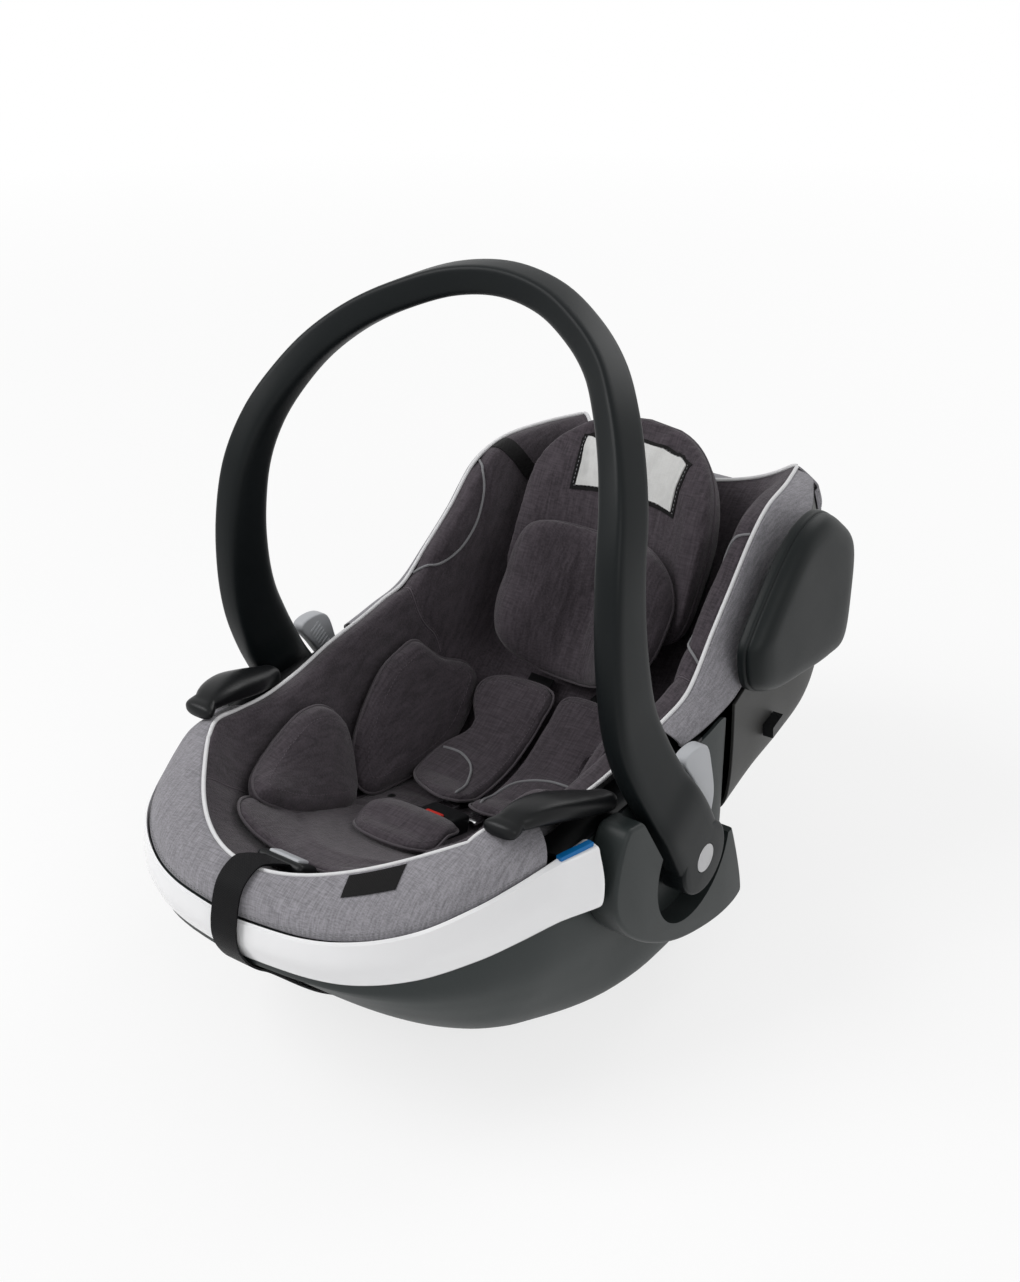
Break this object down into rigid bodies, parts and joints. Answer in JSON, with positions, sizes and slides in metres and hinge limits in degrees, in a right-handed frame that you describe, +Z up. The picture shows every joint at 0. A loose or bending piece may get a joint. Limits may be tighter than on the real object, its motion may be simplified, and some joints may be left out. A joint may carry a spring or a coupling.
{
  "type": "infant carrier car seat",
  "caption": "Rear-facing infant car seat: padded bucket with harness and sliding headrest on a rocker shell, with a folding carrying handle and a clip-on side guard.",
  "frame": {"origin": "on the ground, at the middle of the flat sole, below the handle's pivot line", "axes": "+X to the side that carries the side guard, along the handle's pivot line; -Y to the foot end and +Y to the head end; +Z up"},
  "size_m": [0.44, 0.6721, 0.6005],
  "materials": {
    "shell_plastic": "fine grain",
    "handle_plastic": "satin",
    "black_plastic": "satin black",
    "white_plastic": "gloss",
    "blue_plastic": "satin",
    "lever_plastic": "satin",
    "cap_silver": "satin silver",
    "steel": "brushed",
    "steel_tongue": "satin silver",
    "liner_foam": "foam",
    "dark_fabric": "linen weave",
    "grey_fabric": "melange weave",
    "webbing": "woven webbing",
    "red_plastic": "gloss"
  },
  "bodies": {
    "seat": {"adjuster_housing": "black_plastic", "adjuster_strap": "webbing", "back_rib_left": "shell_plastic", "back_rib_right": "shell_plastic", "back_shell": "shell_plastic", "base_rib_left": "shell_plastic", "base_rib_right": "shell_plastic", "base_shell": "shell_plastic", "belt_guide_left": "black_plastic", "belt_guide_right": "black_plastic", "belt_hook_left": "black_plastic", "belt_hook_right": "black_plastic", "belt_slide_left": "blue_plastic", "belt_slide_right": "blue_plastic", "buckle_body": "black_plastic", "crotch_pad": "dark_fabric", "crotch_strap": "webbing", "dock_bar_front": "steel", "dock_bar_rear": "steel", "foot_cover": "grey_fabric", "headrest_rail": "black_plastic", "hip_pad_left": "dark_fabric", "hip_pad_right": "dark_fabric", "hub_housing_left": "shell_plastic", "hub_housing_right": "shell_plastic", "lap_strap_left": "webbing", "lap_strap_right": "webbing", "pivot_pin_left": "steel", "pivot_pin_right": "steel", "pivot_washer_left": "black_plastic", "pivot_washer_right": "black_plastic", "rim_ledge_left": "black_plastic", "rim_ledge_right": "black_plastic", "rim_trim": "white_plastic", "seat_cover": "dark_fabric", "seat_cushion": "dark_fabric", "seat_liner": "liner_foam", "shoulder_pad_left": "dark_fabric", "shoulder_pad_right": "dark_fabric", "shoulder_strap_left": "webbing", "shoulder_strap_right": "webbing", "side_cover_left": "grey_fabric", "side_cover_right": "grey_fabric", "side_guard": "shell_plastic", "side_guard_clip_left": "black_plastic", "side_guard_clip_right": "black_plastic", "tongue_left": "steel_tongue", "tongue_right": "steel_tongue", "torso_pad_left": "dark_fabric", "torso_pad_right": "dark_fabric"},
    "handle": {"handle": "handle_plastic", "pivot_cap_left": "cap_silver", "pivot_cap_right": "cap_silver"},
    "headrest": {"head_pillow": "dark_fabric", "headrest_cover": "dark_fabric", "headrest_shell": "shell_plastic"},
    "lever_left": {"handle_lever_left": "lever_plastic"},
    "lever_right": {"handle_lever_right": "lever_plastic"},
    "buckle_button": {"buckle_button": "red_plastic"},
    "adjuster_button": {"adjuster_button": "lever_plastic"}
  },
  "joints": [
    {"name": "handle_fold", "type": "hinge", "parent": "seat", "child": "handle", "pos_m": [0, 0, 0.145], "axis": [1, 0, 0], "range_deg": [-50, 0]},
    {"name": "lever_squeeze_left", "type": "hinge", "parent": "handle", "child": "lever_left", "pos_m": [-0.201, 0.0232, 0.1692], "axis": [1, 0, 0], "range_deg": [0, 3], "stiffness_Nm_per_rad": 1, "springref_deg": -5.73},
    {"name": "lever_squeeze_right", "type": "hinge", "parent": "handle", "child": "lever_right", "pos_m": [0.201, 0.0232, 0.1692], "axis": [1, 0, 0], "range_deg": [0, 3], "stiffness_Nm_per_rad": 1, "springref_deg": -5.73},
    {"name": "headrest_slide", "type": "slide", "parent": "seat", "child": "headrest", "axis": [0, 0.6199, 0.7847], "range_m": [0, 0.05]},
    {"name": "buckle_press", "type": "slide", "parent": "seat", "child": "buckle_button", "axis": [0, -0.2579, -0.9662], "range_m": [0, 0.0018], "stiffness_N_per_m": 400, "springref_m": -0.002},
    {"name": "adjuster_press", "type": "slide", "parent": "seat", "child": "adjuster_button", "axis": [0, -0.5436, -0.8393], "range_m": [0, 0.0018], "stiffness_N_per_m": 400, "springref_m": -0.002}
  ]
}
